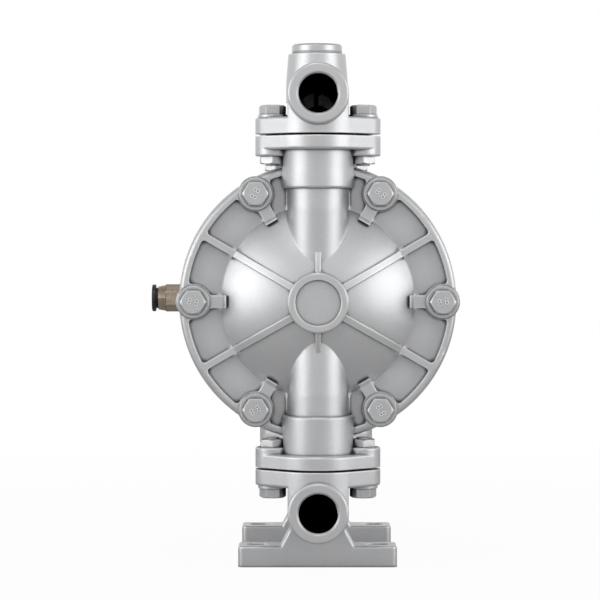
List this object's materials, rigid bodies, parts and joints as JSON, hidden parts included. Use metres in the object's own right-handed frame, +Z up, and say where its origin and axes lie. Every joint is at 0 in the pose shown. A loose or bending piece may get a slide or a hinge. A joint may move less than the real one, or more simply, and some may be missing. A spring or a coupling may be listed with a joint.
{
  "type": "air operated diaphragm pump",
  "caption": "Air operated double diaphragm pump with domed liquid covers, plugged port manifolds above and below, slotted feet and a push-in air inlet.",
  "frame": {"origin": "centre of the foot slot pattern, on the plane of the soles", "axes": "+Z up, Y along the pump axis with the open ports facing -Y, the air inlet on the -X side"},
  "size_m": [0.1517, 0.1949, 0.2583],
  "materials": {
    "wetted_casting": "fine satin casting",
    "air_side": "satin casting",
    "stainless": "cold formed, satin",
    "zinc_steel": "zinc plated",
    "bright_steel": "ground and bright",
    "plate_metal": "machined",
    "plug_metal": "turned, satin",
    "nickel_brass": "nickel plated",
    "sintered_bronze": "sintered, porous",
    "black_rubber": "matt",
    "black_plastic": "moulded",
    "bush_plastic": "moulded"
  },
  "bodies": {
    "root": {"air_chamber_front": "air_side", "air_chamber_rear": "air_side", "center_block": "air_side", "chamber_screws": "zinc_steel", "cover_bolts_front": "stainless", "cover_bolts_rear": "stainless", "cover_nuts_front": "stainless", "cover_nuts_rear": "stainless", "cover_washers_front": "stainless", "cover_washers_rear": "stainless", "diaphragm_front": "black_rubber", "diaphragm_rear": "black_rubber", "discharge_bolts": "stainless", "discharge_gaskets": "black_rubber", "discharge_manifold": "wetted_casting", "discharge_nuts": "stainless", "discharge_seat_seals": "black_rubber", "discharge_seats": "black_plastic", "discharge_washers": "stainless", "end_cap_screws": "zinc_steel", "fitting_body": "nickel_brass", "fitting_collet": "bright_steel", "liquid_cover_front": "wetted_casting", "liquid_cover_rear": "wetted_casting", "muffler_base": "nickel_brass", "muffler_element": "sintered_bronze", "pilot_bushes": "bush_plastic", "plug_rings": "plug_metal", "rear_plugs": "plug_metal", "rod_bushes": "bush_plastic", "rod_seals": "black_rubber", "suction_bolts": "stainless", "suction_gaskets": "black_rubber", "suction_manifold": "wetted_casting", "suction_nuts": "stainless", "suction_seat_seals": "black_rubber", "suction_seats": "black_plastic", "suction_washers": "stainless", "top_plug": "plug_metal", "tube_seal": "black_rubber", "valve_body": "air_side", "valve_end_caps": "black_plastic", "valve_gasket": "black_rubber", "valve_screws": "zinc_steel", "valve_sleeve": "bright_steel"},
    "rod": {"diaphragm_rod": "bright_steel", "inner_plate_front": "plate_metal", "inner_plate_rear": "plate_metal", "outer_plate_front": "plate_metal", "outer_plate_rear": "plate_metal", "plate_bolts": "stainless"},
    "pilot": {"pilot_rod": "bright_steel"},
    "spool": {"valve_spool": "plate_metal", "spool_seals": "black_rubber"},
    "release": {"release_ring": "black_plastic"},
    "suction_check_front": {"suction_ball_front": "black_rubber"},
    "suction_check_rear": {"suction_ball_rear": "black_rubber"},
    "discharge_check_front": {"discharge_ball_front": "black_rubber"},
    "discharge_check_rear": {"discharge_ball_rear": "black_rubber"}
  },
  "joints": [
    {"name": "rod_slide", "type": "slide", "parent": "root", "child": "rod", "axis": [0, 1, 0], "range_m": [-0.008, 0.008], "deforming": ["diaphragm_front", "diaphragm_rear"]},
    {"name": "pilot_slide", "type": "slide", "parent": "root", "child": "pilot", "axis": [0, 1, 0], "range_m": [-0.003, 0.003]},
    {"name": "spool_slide", "type": "slide", "parent": "root", "child": "spool", "axis": [0, 0, 1], "range_m": [0, 0.008]},
    {"name": "release_press", "type": "slide", "parent": "root", "child": "release", "axis": [1, 0, 0], "range_m": [0, 0.001]},
    {"name": "suction_check_front_lift", "type": "slide", "parent": "root", "child": "suction_check_front", "axis": [0, 0, 1], "range_m": [0, 0.005]},
    {"name": "suction_check_rear_lift", "type": "slide", "parent": "root", "child": "suction_check_rear", "axis": [0, 0, 1], "range_m": [0, 0.005]},
    {"name": "discharge_check_front_lift", "type": "slide", "parent": "root", "child": "discharge_check_front", "axis": [0, 0, 1], "range_m": [0, 0.005]},
    {"name": "discharge_check_rear_lift", "type": "slide", "parent": "root", "child": "discharge_check_rear", "axis": [0, 0, 1], "range_m": [0, 0.005]}
  ],
  "couplings": [
    {"joint": "pilot_slide", "follows": "rod_slide", "ratio": 0.375}
  ]
}
